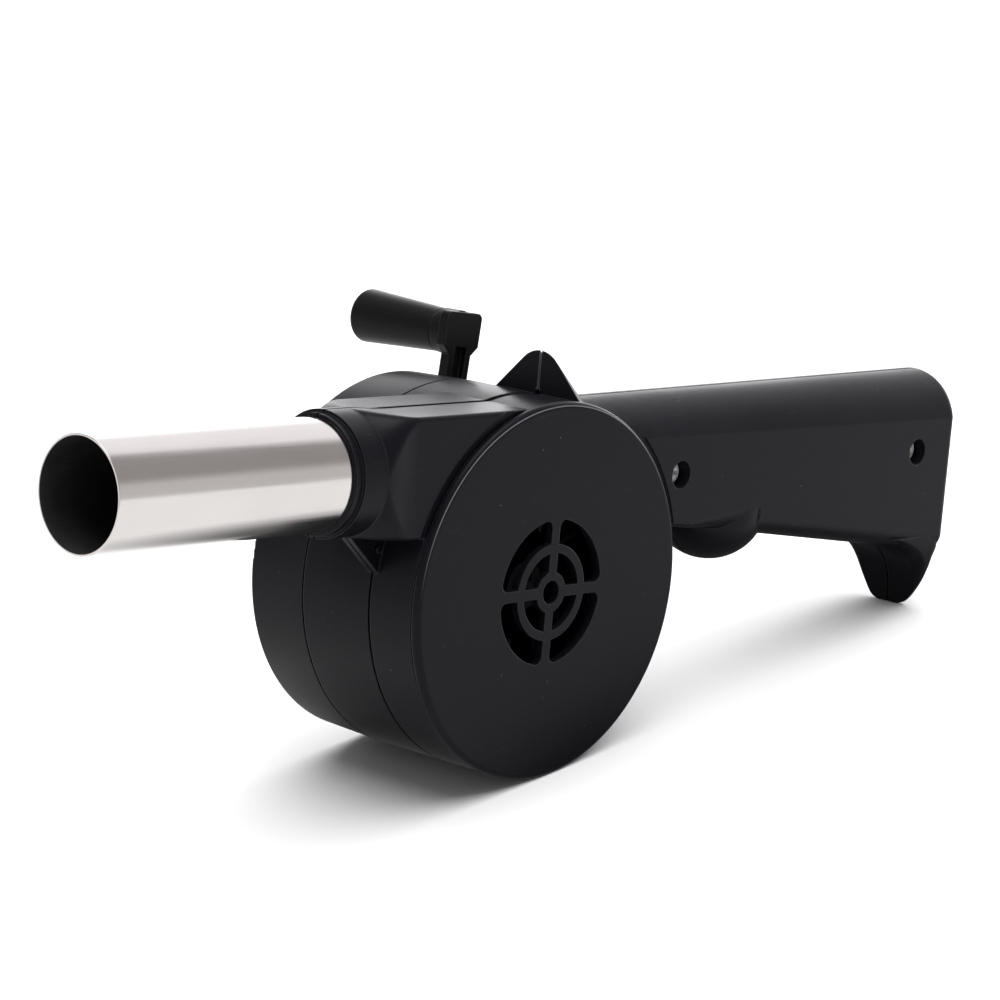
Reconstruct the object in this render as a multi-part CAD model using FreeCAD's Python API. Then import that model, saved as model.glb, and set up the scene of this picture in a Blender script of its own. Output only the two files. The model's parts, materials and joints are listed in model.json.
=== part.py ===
import FreeCAD, Part
import math
import os
from FreeCAD import Vector

# Hand crank fire blower, in millimetres.
# X runs along the blower from the nozzle (-X) to the grip (+X), Y along the drum axis from the intake
# cover (y = 0) to the crank, and Z up. The origin is where the drum axis meets the intake cover's face.
# At the end the whole blower is tipped back onto its drum and hook, as it stands on a table.

# Casing
drum_radius = 38.0
wall = 2.0
body_width = 23.3
rim_depth = 6.75
gear_cover_depth = 15.4
gear_cover_draft = 0.6
gear_cover_edge = 0.6
groove_width = 0.5
groove_depth = 0.5

# Intake cover and its grille
cover_thickness = 1.6
cover_lip = 0.2
cover_edge = 0.8
grille_hole = 2.4
grille_hub = 4.1
grille_inner_slot = 8.0
grille_ring = 9.8
grille_outer_slot = 14.8
grille_spoke = 2.2
grille_corner = 1.6
eye_clearance = 1.2
peg_circle = 24.0
peg_radius = 1.2

# Air duct, collar and nozzle tube
duct_height = 23.8
duct_drop = 1.1
duct_reach = 40.0
duct_edge = 0.9
neck_length = 8.2
neck_sections = 5
neck_ease = 1.5
collar_length = 6.1
lip_length = 1.7
tube_radius = 11.0
tube_wall = 0.5
tube_reach = 58.0
tube_seat = 11.6
collar_wall = 1.4
lip_wall = 0.75
gusset_front = 8.0
gusset_drop = 8.4
gusset_thickness = 3.0
gusset_peg = 0.8
gusset_peg_proud = 0.8

# Grip: flat sides, an arched crown, and a barrel under its front part, whose lower edges round off there
grip_drop = 1.5
grip_end = 136.0
grip_rise = 0.0095
crown_foot = 29.4
grip_bottom_edge = 4.2
grip_front_edge = 1.2
grip_barrel_edge = 7.4
grip_barrel_start = 44.0
grip_barrel_end = 67.3
grip_end_edge = 2.4
underside_start = 15.3
underside_slope = 0.135
hump_x = 64.2
hump_arc = 14.4
hump_bottom = -0.55

# Hook at the grip's end: it hangs by a root that is longer than its tip
hook_drop = 13.1
hook_overlap = 4.4
hook_root = 21.0
hook_tip = 3.0
hook_curve = 4.2
hook_set_back = 2.5
hook_tip_half = 2.4
hook_shoulder = 1.15
hook_roundness = 0.5
hook_sections = 8
hook_corner = 3.0

# Fin across the top, between the drum and the grip
fin_x = 5.8
fin_run = 10.7
fin_top_z = 46.4
fin_apex_radius = 6.3

# Screws
screw_radius = 1.5
screw_head_radius = 2.7
screw_head_height = 1.9
screw_recess_radius = 2.9
screw_length = 12.0
recess_depth = 2.5
post_wall = 1.5
grip_screw_x = (39.5, 122.0)
grip_screw_z = 21.0
small_screw_radius = 1.25
small_head_radius = 2.1
small_head_height = 1.4
small_post_radius = 2.8
post_circle = 32.0
post_angle = 41.0
case_screw_length = 17.5
cover_screw_length = 12.0
cover_screw_depth = 4.0
cross_width = 0.7
cross_span = 0.62

# Gears
tooth_module = 0.6
pressure_angle = math.radians(25.0)
addendum = 0.8
dedendum = 1.0
backlash = 0.08
crank_teeth = 56
idler_pinion_teeth = 12
idler_teeth = 48
fan_pinion_teeth = 10
crank_offset = 16.0
idler_gear_width = 3.5
idler_pinion_width = 6.6
crank_gear_width = 4.5
crank_hub_radius = 5.5

# Shafts and bushes
fan_shaft_radius = 1.5
fan_bush_radius = 3.0
fan_bush_length = 6.1
idler_pin_radius = 1.5
crank_shaft_radius = 3.0
crank_bush_radius = 4.4
shaft_flat = 0.4
washer_thickness = 0.5
crank_washer_thickness = 1.0
crank_tap_depth = 8.0
crank_screw_length = 6.5
running_gap = 0.05
end_gap = 0.1
fit_gap = 0.01
boss_wall = 1.6
inner_boss_wall = 0.6
fan_bush_inset = 2.0
crank_boss_reach = 3.0
inner_bush_inset = 1.8
crank_wall_step = 0.4
gear_space = 1.0
pin_cover = 1.5
crank_dish = 1.2

# Fan wheel
fan_radius = 27.0
fan_hub_radius = 5.0
fan_plate = 1.2
fan_front_gap = 3.6
blade_count = 10
blade_thickness = 1.2
blade_start = 11.0
blade_bow = 16.0

# Crank arm and knob
arm_length = 44.4
arm_lean = 5.8
arm_width = 6.7
arm_thickness = 2.5
arm_channel = 4.5
arm_channel_depth = 1.4
arm_hub_radius = 7.0
arm_hub_thickness = 3.2
head_width = 10.6
head_height = 9.0
head_chamfer = 1.8
head_corner = 1.3
barrel_radius = 4.8
barrel_depth = 3.1
knob_root_radius = 4.6
knob_end_radius = 5.8
knob_length = 22.8
knob_edge = 1.2
knob_screw_radius = 2.0
knob_thread_radius = 1.5
knob_recess_radius = 3.4
knob_recess_depth = 3.6
knob_hole_floor = 1.0

# Places that follow from the sizes above
case_near = cover_thickness
parting = case_near + body_width / 2
body_far = case_near + body_width
partition_face = body_far - wall
gear_joint = body_far + rim_depth
cover_face = gear_joint + gear_cover_depth
cover_inside = cover_face - wall
duct_z = drum_radius - duct_drop - duct_height / 2
collar_mouth = -(duct_reach + neck_length + collar_length + lip_length)
grip_top = drum_radius - grip_drop
grip_screw_seat = case_near + recess_depth + screw_head_height
crank_centre = (crank_offset, 0.0)
crank_mesh = tooth_module * (crank_teeth + idler_pinion_teeth) / 2
fan_mesh = tooth_module * (idler_teeth + fan_pinion_teeth) / 2
idler_x = (fan_mesh**2 - crank_mesh**2 + crank_offset**2) / (2 * crank_offset)
idler_centre = (idler_x, -math.sqrt(fan_mesh**2 - idler_x**2))
far = 400.0

# Places along Y of what turns, from the partition outwards
fan_bush_start = partition_face - fan_bush_inset
fan_bush_end = fan_bush_start + fan_bush_length
fan_washer_start = fan_bush_start - end_gap - washer_thickness
fan_hub_end = fan_washer_start - end_gap
fan_front = case_near + wall + fan_front_gap
fan_ring_end = fan_front - end_gap
idler_washer_start = fan_bush_end + 2 * end_gap
idler_start = idler_washer_start + washer_thickness + end_gap
idler_step = idler_start + idler_gear_width
idler_end = idler_step + idler_pinion_width
idler_boss_start = idler_end + washer_thickness + 2 * end_gap
idler_pin_start = partition_face + wall / 2
idler_pin_end = cover_inside - pin_cover
fan_pinion_start = fan_bush_end + 2 * end_gap
fan_pinion_end = idler_step + end_gap
crank_gear_start = fan_pinion_end + gear_space
crank_gear_end = crank_gear_start + crank_gear_width
crank_boss_start = cover_inside - crank_boss_reach
crank_bush_end = cover_face - end_gap
inner_bush_start = partition_face + wall / 2
inner_bush_end = crank_gear_start - inner_bush_inset
inner_bush_radius = crank_bush_radius - crank_wall_step
arm_face = cover_face + crank_washer_thickness + 1.5 * end_gap

# Places of the crank's knob
lean = math.radians(arm_lean)
knob_centre = (crank_offset + arm_length * math.sin(lean), arm_length * math.cos(lean))
knob_start = arm_face + arm_thickness + barrel_depth + end_gap
knob_end = knob_start + knob_length
knob_seat = knob_end - knob_recess_depth

parts = {}


def block(x, y, z):
    """Box between the pairs of values x, y and z."""
    size = [pair[1] - pair[0] for pair in (x, y, z)]
    return Part.makeBox(*size, Vector(x[0], y[0], z[0]))


def disc(radius, y_from, y_to, centre=(0.0, 0.0)):
    """Cylinder along Y."""
    return Part.makeCylinder(radius, y_to - y_from, Vector(centre[0], y_from, centre[1]), Vector(0, 1, 0))


def ring(inner, outer, y_from, y_to, centre=(0.0, 0.0)):
    """Tube or washer along Y."""
    return disc(outer, y_from, y_to, centre).cut(disc(inner, y_from - 1, y_to + 1, centre))


def rod_x(radius, x_from, x_to):
    """Cylinder on the axis of the duct and the nozzle tube."""
    return Part.makeCylinder(radius, x_to - x_from, Vector(x_from, parting, duct_z), Vector(1, 0, 0))


def prism(points, y_from, y_to):
    """Straight-sided XZ outline, extruded along Y."""
    corners = [Vector(x, y_from, z) for x, z in points]
    outline = Part.makePolygon(corners + corners[:1])
    return Part.Face(outline).extrude(Vector(0, y_to - y_from, 0))


def fused(shapes):
    """Union of the shapes as one clean solid."""
    first = shapes[0]
    return first.fuse(shapes[1:]).removeSplitter() if len(shapes) > 1 else first


def rounded(shape, radius, wanted):
    """Fillet on the edges for which wanted(edge) holds."""
    edges = [edge for edge in shape.Edges if wanted(edge)]
    return shape.makeFillet(radius, edges)


def runs_along(edge, axis):
    """True if the edge is a straight line along the axis, to within a steep slope."""
    return isinstance(edge.Curve, Part.Line) and abs(edge.tangentAt(edge.FirstParameter).dot(axis)) > 0.9


def circle_at(edge, y, radius):
    """True if the edge is a full circle of that radius in the plane y."""
    curve = edge.Curve
    if not isinstance(curve, Part.Circle):
        return False
    return abs(curve.Radius - radius) < 0.01 and abs(curve.Center.y - y) < 0.01


def around(count, first=0.0):
    """Angles in degrees of an even pattern about the drum axis."""
    return [first + 360.0 * k / count for k in range(count)]


def polar(radius, degrees):
    """Point (x, z) at an angle about the drum axis."""
    angle = math.radians(degrees)
    return (radius * math.cos(angle), radius * math.sin(angle))


# Outer form of the casing, drawn a chosen distance inside its real surface

def underside(x):
    """Height of the grip's underside."""
    return underside_start - underside_slope * x


def drum_form(inset, y_to):
    return disc(drum_radius - inset, case_near + inset, y_to)


def duct_form(inset):
    half_height = duct_height / 2 - inset
    sides = (case_near + inset, body_far - inset)
    box = block((-duct_reach, 0.0), sides, (duct_z - half_height, duct_z + half_height))
    if inset >= duct_edge:
        return box
    return rounded(box, duct_edge - inset, lambda edge: runs_along(edge, Vector(1, 0, 0)))


def soft_frame(x, half_y, half_z, corner):
    """Rounded rectangle about the duct's axis, in the plane x."""
    bend = corner * (1 - math.sqrt(0.5))
    edges = []
    for side_y, side_z in ((1, 1), (-1, 1), (-1, -1), (1, -1)):
        upright = Vector(x, parting + side_y * half_y, duct_z + side_z * (half_z - corner))
        turn = Vector(x, parting + side_y * (half_y - bend), duct_z + side_z * (half_z - bend))
        level = Vector(x, parting + side_y * (half_y - corner), duct_z + side_z * half_z)
        ends = (upright, level) if side_y * side_z > 0 else (level, upright)
        if edges:
            edges.append(Part.makeLine(edges[-1].Vertexes[-1].Point, ends[0]))
        edges.append(Part.Arc(ends[0], turn, ends[1]).toShape())
    edges.append(Part.makeLine(edges[-1].Vertexes[-1].Point, edges[0].Vertexes[0].Point))
    return Part.Wire(edges)


def neck_form(inset):
    """Round collar that grows smoothly into the square duct."""
    round_end = tube_radius + collar_wall - inset
    wires = []
    for k in range(neck_sections):
        share = k / (neck_sections - 1)
        x = -duct_reach - neck_length * (1 - share)
        ease = share * share * (3 - 2 * share)
        half_y = round_end + (body_width / 2 - inset - round_end) * ease
        half_z = round_end + (duct_height / 2 - inset - round_end) * ease
        square = max(duct_edge - inset, duct_edge / 2)
        corner = square + (0.98 * min(half_y, half_z) - square) * (1 - share) ** neck_ease
        wires.append(soft_frame(x, half_y, half_z, corner))
    return Part.makeLoft(wires, True, False)


def collar_form(inset):
    neck_start = -duct_reach - neck_length
    main = rod_x(tube_radius + collar_wall - inset, neck_start - collar_length, neck_start)
    lip = rod_x(tube_radius + lip_wall - inset, collar_mouth, neck_start - collar_length)
    return fused([main, lip])


def grip_section(x, inset, bottom_edge):
    """Outline of the grip in the plane x: arched crown, straight sides and rounded lower edges."""
    half = body_width / 2 - inset
    slant = 1 / math.cos(math.atan(underside_slope))
    low = underside(x) + inset * slant
    foot = crown_foot - grip_rise * x
    top = grip_top + grip_rise * x - inset
    edge = min(max(bottom_edge - inset, 0.5), half - 0.1)
    bend = edge * (1 - math.sqrt(0.5))
    corners = [Vector(x, parting + side * half, foot) for side in (-1, 1)]
    uprights = [Vector(x, parting + side * half, low + edge) for side in (-1, 1)]
    turns = [Vector(x, parting + side * (half - bend), low + bend) for side in (-1, 1)]
    levels = [Vector(x, parting + side * (half - edge), low) for side in (-1, 1)]
    return Part.Wire([
        Part.Arc(corners[0], Vector(x, parting, top), corners[1]).toShape(),
        Part.makeLine(corners[1], uprights[1]),
        Part.Arc(uprights[1], turns[1], levels[1]).toShape(),
        Part.makeLine(levels[1], levels[0]),
        Part.Arc(levels[0], turns[0], uprights[0]).toShape(),
        Part.makeLine(uprights[0], corners[0]),
    ])


def grip_form(inset):
    """Front part, whose lower edges round off towards the barrel, then the part that the hand holds."""
    end = grip_end - inset
    front_end = grip_barrel_end + inset
    front_edges = ((0.0, grip_front_edge), (grip_barrel_start, grip_front_edge), (front_end, grip_barrel_edge))
    front = Part.makeLoft([grip_section(x, inset, edge) for x, edge in front_edges], True, True)
    rear = Part.makeLoft([grip_section(x, inset, grip_bottom_edge) for x in (front_end, end)], True, True)
    if inset < grip_end_edge / 2:
        rear = rounded(rear, grip_end_edge - inset, lambda edge: edge.BoundBox.XMin > end - 0.01)
    return front.fuse(rear)


def hump_form(inset):
    """Barrel under the front of the grip: an arc turned about an axis along X."""
    axis_z = hump_bottom + body_width / 2
    arc_z = hump_bottom + hump_arc
    radius = hump_arc - inset
    reach = math.sqrt(radius**2 - (arc_z - axis_z) ** 2)
    left = Vector(hump_x - reach, parting, axis_z)
    low = Vector(hump_x, parting, arc_z - radius)
    right = Vector(hump_x + reach, parting, axis_z)
    outline = Part.Wire([Part.Arc(left, low, right).toShape(), Part.makeLine(right, left)])
    return Part.Face(outline).revolve(Vector(0, parting, axis_z), Vector(1, 0, 0), 360)


def soft_section(z, x, half_width, corner):
    """Rounded rectangle in the plane z, centred on the parting plane."""
    box = Part.makePolygon([
        Vector(x[0], parting - half_width, z),
        Vector(x[1], parting - half_width, z),
        Vector(x[1], parting + half_width, z),
        Vector(x[0], parting + half_width, z),
        Vector(x[0], parting - half_width, z),
    ])
    face = Part.Face(box).extrude(Vector(0, 0, 1))
    uprights = [edge for edge in face.Edges if runs_along(edge, Vector(0, 0, 1))]
    soft = face.makeFillet(corner, uprights)
    bottom = [side for side in soft.Faces if side.BoundBox.ZMax < z + 0.01]
    return bottom[0].OuterWire


def hook_form(inset):
    """Lip that hangs from the grip's end and thins out towards its tip."""
    root = underside(grip_end)
    root_half = body_width / 2 - inset
    tip_half = hook_tip_half - inset / 2
    wires = []
    for k in range(hook_sections):
        share = k / (hook_sections - 1)
        drop = share * (hook_drop + hook_overlap) - hook_overlap
        front = hook_tip + (hook_root - hook_tip) * math.exp(-(drop + hook_overlap) / hook_curve)
        rear = hook_set_back * max(0.0, drop) / hook_drop
        width = tip_half + (root_half - tip_half) * (1 - share**hook_shoulder) ** hook_roundness
        side_inset = min(inset, 0.3 * (front - rear))
        x = (grip_end - front + side_inset, grip_end - rear - side_inset)
        wires.append(soft_section(root - drop, x, width, min(0.42 * (x[1] - x[0]), hook_corner)))
    return Part.makeLoft(wires, True, False)


def fin_form(inset):
    """Bell-shaped front face, square to the tube, whose back slopes down to the top of the grip."""
    front = fin_x + inset
    apex = fin_top_z - 1.3 * inset
    half = body_width / 2 - inset
    drop = fin_top_z - grip_top
    centre_z = apex - fin_apex_radius
    flank = fin_apex_radius * math.sqrt(0.5)
    foot_z = centre_z + 2 * flank - half
    base_z = foot_z - 2 * wall
    shoulder = [Vector(front, parting + side * flank, centre_z + flank) for side in (-1, 1)]
    foot = [Vector(front, parting + side * half, foot_z) for side in (-1, 1)]
    base = [Vector(front, parting + side * half, base_z) for side in (-1, 1)]
    outline = Part.Wire([
        Part.makeLine(base[0], foot[0]),
        Part.makeLine(foot[0], shoulder[0]),
        Part.Arc(shoulder[0], Vector(front, parting, apex), shoulder[1]).toShape(),
        Part.makeLine(shoulder[1], foot[1]),
        Part.makeLine(foot[1], base[1]),
        Part.makeLine(base[1], base[0]),
    ])
    return Part.Face(outline).extrude(Vector(fin_run, 0, -drop))


def casing_form(inset, y_to):
    return fused([
        drum_form(inset, y_to),
        duct_form(inset),
        neck_form(inset),
        collar_form(inset),
        grip_form(inset),
        hump_form(inset),
        hook_form(inset),
        fin_form(inset),
    ])


def parting_groove(outer):
    """Thin shadow line where the two shells meet."""
    half = groove_width / 2
    slab = block((-far, far), (parting - half, parting + half), (-far, far))
    return outer.common(slab).cut(casing_form(groove_depth, gear_joint))


def drum_groove(y_from, y_to):
    return ring(drum_radius - groove_depth, drum_radius + 2, y_from, y_to)


def tube_socket():
    """Bore of the collar, which holds the seated end of the tube."""
    return rod_x(tube_radius + fit_gap, collar_mouth - 1, collar_mouth + tube_seat)


def hollow():
    """Air way and the empty grip. The drum's wall stays between them."""
    chamber = disc(drum_radius - wall, case_near + wall, partition_face)
    neck = rod_x(body_width / 2 - wall, collar_mouth + tube_seat, -duct_reach + 0.5)
    seat = tube_socket()
    air = fused([chamber, duct_form(wall), neck, seat])
    grip = fused([grip_form(wall), hump_form(wall)])
    return air.fuse(grip.cut(disc(drum_radius, case_near, body_far)))


def gusset(y_from, y_to):
    """Triangular web between the drum and the duct."""
    front = (-duct_reach - gusset_front, duct_z - duct_height / 2 + wall / 2)
    tip_z = duct_z - duct_height / 2 - gusset_drop
    tip = (-math.sqrt(drum_radius**2 - tip_z**2), tip_z)
    inner = drum_radius - wall / 2
    web = prism([front, tip, (-inner * 0.9, tip_z), (-inner * 0.9, front[1])], y_from, y_to)
    return web.cut([disc(inner, y_from - 1, y_to + 1), tube_socket()])


def gusset_peg_centre():
    tip_z = duct_z - duct_height / 2 - gusset_drop / 2
    return (-math.sqrt(drum_radius**2 - tip_z**2) - 2 * gusset_peg, tip_z + 0.8)


def screw(centre, seat, length, radius, head_radius, head_height, towards):
    """Pan head screw with a cross recess. towards is +1 or -1, the way that it points along Y."""
    head_top = seat - towards * head_height
    tip = seat + towards * length
    head = disc(head_radius, min(seat, head_top), max(seat, head_top), centre)
    head = rounded(head, head_height * 0.45, lambda edge: circle_at(edge, head_top, head_radius))
    shank = disc(radius, min(seat, tip), max(seat, tip), centre)
    body = head.fuse(shank)
    depth = head_height * 0.6
    y = sorted((head_top, head_top + towards * depth))
    span = head_radius * cross_span
    half = cross_width / 2
    for dx, dz in ((span, half), (half, span)):
        bar = block((centre[0] - dx, centre[0] + dx), y, (centre[1] - dz, centre[1] + dz))
        body = body.cut(bar)
    return body.removeSplitter()


def case_screw_places():
    return [polar(post_circle, angle) for angle in (post_angle, 180 + post_angle, -post_angle)]


def cover_screw_places():
    angles = (post_angle, 180 - post_angle, 180 + post_angle, -post_angle)
    return [polar(post_circle, angle) for angle in angles]


def grip_screw_places():
    return [(x, grip_screw_z) for x in grip_screw_x]


# Shells

def right_shell(outer, inner):
    """Near half: drum front, half of the duct and half of the grip."""
    near = block((-far, far), (-far, parting), (-far, far))
    shell = outer.common(near).cut(inner)
    eye = grille_outer_slot + eye_clearance
    case_head = case_near + small_head_height + end_gap
    additions = [gusset(parting - gusset_thickness / 2, parting)]
    holes = [
        disc(eye, case_near - 1, case_near + wall + 1),
        drum_groove(case_near - 1, case_near + groove_width),
        disc(gusset_peg + end_gap, case_near, parting + 1, gusset_peg_centre()),
    ]
    for place in case_screw_places():
        additions.append(disc(small_post_radius, case_near + wall / 2, parting, place))
        holes.append(disc(small_head_radius + end_gap, case_near - 1, case_head, place))
        holes.append(disc(small_screw_radius + end_gap, case_head - 1, parting + 1, place))
    for place in grip_screw_places():
        additions.append(disc(screw_recess_radius + post_wall, case_near + wall / 2, parting, place))
        holes.append(disc(screw_recess_radius, case_near - 1, grip_screw_seat, place))
        holes.append(disc(screw_radius + end_gap, case_near, parting + 1, place))
    for angle in around(3, 90.0):
        holes.append(disc(peg_radius + end_gap, case_near - 1, case_near + wall + 1, polar(peg_circle, angle)))
    return shell.fuse(additions).cut(holes).removeSplitter()


def left_shell(outer, inner):
    """Far half, with the partition and the rim of the gear case."""
    beyond = block((-far, far), (parting, far), (-far, far))
    gear_room = disc(drum_radius - wall, body_far, gear_joint + 1)
    shell = outer.common(beyond).cut([inner, gear_room])
    post_radius = screw_recess_radius + post_wall
    fan_boss = fan_bush_radius + boss_wall
    idler_boss = idler_pin_radius + boss_wall
    crank_boss = crank_bush_radius - crank_wall_step + inner_boss_wall
    peg_at = gusset_peg_centre()
    peg_tip = parting - gusset_thickness / 2 - gusset_peg_proud
    additions = [
        gusset(parting, parting + gusset_thickness / 2),
        disc(gusset_peg, peg_tip, parting + gusset_thickness / 2, peg_at),
        disc(fan_boss, fan_bush_start + washer_thickness, fan_bush_end - washer_thickness),
        disc(idler_boss, partition_face, idler_washer_start, idler_centre),
        disc(crank_boss, partition_face, inner_bush_end, crank_centre),
    ]
    holes = [
        drum_groove(gear_joint - groove_width / 2, gear_joint + 1),
        disc(fan_bush_radius + fit_gap, partition_face - 9, fan_bush_end + 1),
        disc(idler_pin_radius + fit_gap, idler_pin_start, gear_joint, idler_centre),
        disc(inner_bush_radius + fit_gap, inner_bush_start, gear_joint, crank_centre),
    ]
    for place in case_screw_places():
        additions.append(disc(small_post_radius, parting, body_far - wall / 2, place))
        tip = case_near + small_head_height + case_screw_length
        holes.append(disc(small_screw_radius + fit_gap, parting - 1, tip + 2 * end_gap, place))
    for place in cover_screw_places():
        additions.append(disc(small_post_radius, body_far - wall / 2, gear_joint, place))
        tip = cover_face - cover_screw_depth - cover_screw_length
        holes.append(disc(small_screw_radius + fit_gap, max(tip - 1, body_far), gear_joint + 1, place))
    for place in grip_screw_places():
        additions.append(disc(post_radius, parting, body_far - wall / 2, place))
        tip = grip_screw_seat + screw_length
        holes.append(disc(screw_radius + fit_gap, parting - 1, tip + end_gap, place))
    return shell.fuse(additions).cut(holes).removeSplitter()


def gear_cover():
    """Cup over the gears, slightly tapered, with a lip that centres it in the left shell's rim."""
    far_radius = drum_radius - gear_cover_draft
    cup = Part.makeCone(drum_radius, far_radius, gear_cover_depth, Vector(0, gear_joint, 0), Vector(0, 1, 0))
    cup = rounded(cup, gear_cover_edge, lambda edge: circle_at(edge, cover_face, far_radius))
    room = Part.makeCone(
        drum_radius - wall, far_radius - wall, gear_cover_depth - wall,
        Vector(0, gear_joint, 0), Vector(0, 1, 0),
    )
    lip_outer = drum_radius - wall - end_gap
    lip = ring(lip_outer - wall / 2, lip_outer, gear_joint - wall, gear_joint + wall)
    web = ring(lip_outer - wall / 2, drum_radius - wall / 2, gear_joint + 1, gear_joint + wall)
    crank_boss = crank_bush_radius + boss_wall
    additions = [
        lip,
        web,
        disc(crank_boss, crank_boss_start, cover_inside + wall / 2, crank_centre),
        disc(idler_pin_radius + boss_wall, idler_boss_start, cover_inside + wall / 2, idler_centre),
    ]
    head_seat = cover_face - cover_screw_depth
    holes = [
        drum_groove(gear_joint - 1, gear_joint + groove_width / 2),
        disc(crank_bush_radius + fit_gap, crank_boss_start - 1, cover_face + 1, crank_centre),
        disc(idler_pin_radius + fit_gap, idler_boss_start - 1, idler_pin_end + end_gap, idler_centre),
    ]
    for place in cover_screw_places():
        additions.append(disc(small_post_radius, gear_joint, cover_inside + wall / 2, place))
        holes.append(disc(small_head_radius + end_gap, head_seat, cover_face + 1, place))
        holes.append(disc(small_screw_radius + end_gap, gear_joint - wall - 1, head_seat + 1, place))
    return cup.cut(room).fuse(additions).cut(holes).removeSplitter()


def grille_slot(inner, outer, corner):
    """One quarter slot between two rings, clear of the spokes on its sides."""
    quarter = ring(inner, outer, -1.0, cover_thickness + 1.0)
    half = grille_spoke / 2
    slot = quarter.common(block((half, outer + 1), (-1.0, cover_thickness + 1.0), (half, outer + 1)))
    uprights = [edge for edge in slot.Edges if runs_along(edge, Vector(0, 1, 0))]
    outside = [edge for edge in uprights if math.hypot(edge.CenterOfMass.x, edge.CenterOfMass.z) > outer - 0.1]
    return slot.makeFillet(corner, outside) if corner > 0 else slot


def intake_cover():
    """Flat round cover with the air grille, held by three pegs in the right shell."""
    radius = drum_radius + cover_lip
    plate = disc(radius, 0.0, cover_thickness)
    plate = rounded(plate, cover_edge, lambda edge: circle_at(edge, 0.0, radius))
    pegs = [
        disc(peg_radius, cover_thickness / 2, cover_thickness + wall - end_gap, polar(peg_circle, angle))
        for angle in around(3, 90.0)
    ]
    cuts = [disc(grille_hole, -1.0, cover_thickness + 1.0)]
    for slot in (
        grille_slot(grille_hub, grille_inner_slot, 0.0),
        grille_slot(grille_ring, grille_outer_slot, grille_corner),
    ):
        for angle in around(4):
            turned = slot.copy()
            turned.rotate(Vector(0, 0, 0), Vector(0, 1, 0), angle)
            cuts.append(turned)
    return plate.fuse(pegs).cut(cuts).removeSplitter()


def nozzle_tube():
    """Plain thin stainless tube, pushed into the collar up to its stop."""
    mouth = collar_mouth - tube_reach
    seat = collar_mouth + tube_seat
    return rod_x(tube_radius, mouth, seat).cut(rod_x(tube_radius - tube_wall, mouth - 1, seat + 1))


# Gears

def involute(radius, base):
    """Involute function of the pressure angle at a radius."""
    angle = math.acos(min(1.0, base / radius))
    return math.tan(angle) - angle


def gear(teeth, y_from, y_to, centre, toward):
    """Spur gear with one tooth centred on the angle toward, in radians about +X towards +Z."""
    pitch = tooth_module * teeth / 2
    base = pitch * math.cos(pressure_angle)
    root = pitch - dedendum * tooth_module
    tip = pitch + addendum * tooth_module
    half_pitch = math.pi / (2 * teeth) - backlash / (2 * pitch)
    flank_start = max(root, base)

    def point(radius, side, tooth):
        half = half_pitch + involute(pitch, base) - involute(max(radius, base), base)
        angle = toward + 2 * math.pi * tooth / teeth + side * half
        return Vector(centre[0] + radius * math.cos(angle), y_from, centre[1] + radius * math.sin(angle))

    def on_circle(radius, angle):
        return Vector(centre[0] + radius * math.cos(angle), y_from, centre[1] + radius * math.sin(angle))

    edges = []
    for tooth in range(teeth):
        middle = toward + 2 * math.pi * tooth / teeth
        gap = middle + math.pi / teeth
        flank_middle = (flank_start + tip) / 2
        if root < base:
            edges.append(Part.makeLine(point(root, -1, tooth), point(flank_start, -1, tooth)))
        edges.append(Part.Arc(
            point(flank_start, -1, tooth), point(flank_middle, -1, tooth), point(tip, -1, tooth)).toShape())
        edges.append(Part.Arc(point(tip, -1, tooth), on_circle(tip, middle), point(tip, 1, tooth)).toShape())
        edges.append(Part.Arc(
            point(tip, 1, tooth), point(flank_middle, 1, tooth), point(flank_start, 1, tooth)).toShape())
        if root < base:
            edges.append(Part.makeLine(point(flank_start, 1, tooth), point(root, 1, tooth)))
        edges.append(Part.Arc(
            point(root, 1, tooth), on_circle(root, gap), point(root, -1, tooth + 1)).toShape())
    return Part.Face(Part.Wire(edges)).extrude(Vector(0, y_to - y_from, 0))


def angle_between(start, end):
    return math.atan2(end[1] - start[1], end[0] - start[0])


def flat_rod(radius, y_from, y_to, centre=(0.0, 0.0)):
    """Round rod with a flat along its upper side."""
    top = centre[1] + radius - shaft_flat
    flat = block((centre[0] - radius, centre[0] + radius), (y_from, y_to), (top, top + radius))
    return disc(radius, y_from, y_to, centre).cut(flat)


def fan_wheel():
    """Ten curved blades on a back plate and a hub."""
    back = fan_hub_end - 1.0
    hub = disc(fan_hub_radius, fan_front, fan_hub_end)
    plate = disc(fan_radius, back - fan_plate, back)
    start = Vector(blade_start, fan_front, 0)
    end_angle = math.radians(-blade_bow)
    end = Vector((fan_radius - 0.5) * math.cos(end_angle), fan_front, (fan_radius - 0.5) * math.sin(end_angle))
    chord = end - start
    side = Vector(-chord.z, 0, chord.x).normalize()
    middle = (start + end) * 0.5 + side * chord.Length * 0.12
    shift = side * blade_thickness
    outline = Part.Wire([
        Part.Arc(start, middle, end).toShape(),
        Part.makeLine(end, end + shift),
        Part.Arc(end + shift, middle + shift, start + shift).toShape(),
        Part.makeLine(start + shift, start),
    ])
    blade = Part.Face(outline).extrude(Vector(0, back - fan_plate / 2 - fan_front, 0))
    blades = []
    for angle in around(blade_count):
        turned = blade.copy()
        turned.rotate(Vector(0, 0, 0), Vector(0, 1, 0), angle)
        blades.append(turned)
    bore = flat_rod(fan_shaft_radius + fit_gap, fan_front - 1, fan_hub_end + 1)
    return hub.fuse([plate] + blades).cut(bore).removeSplitter()


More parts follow.
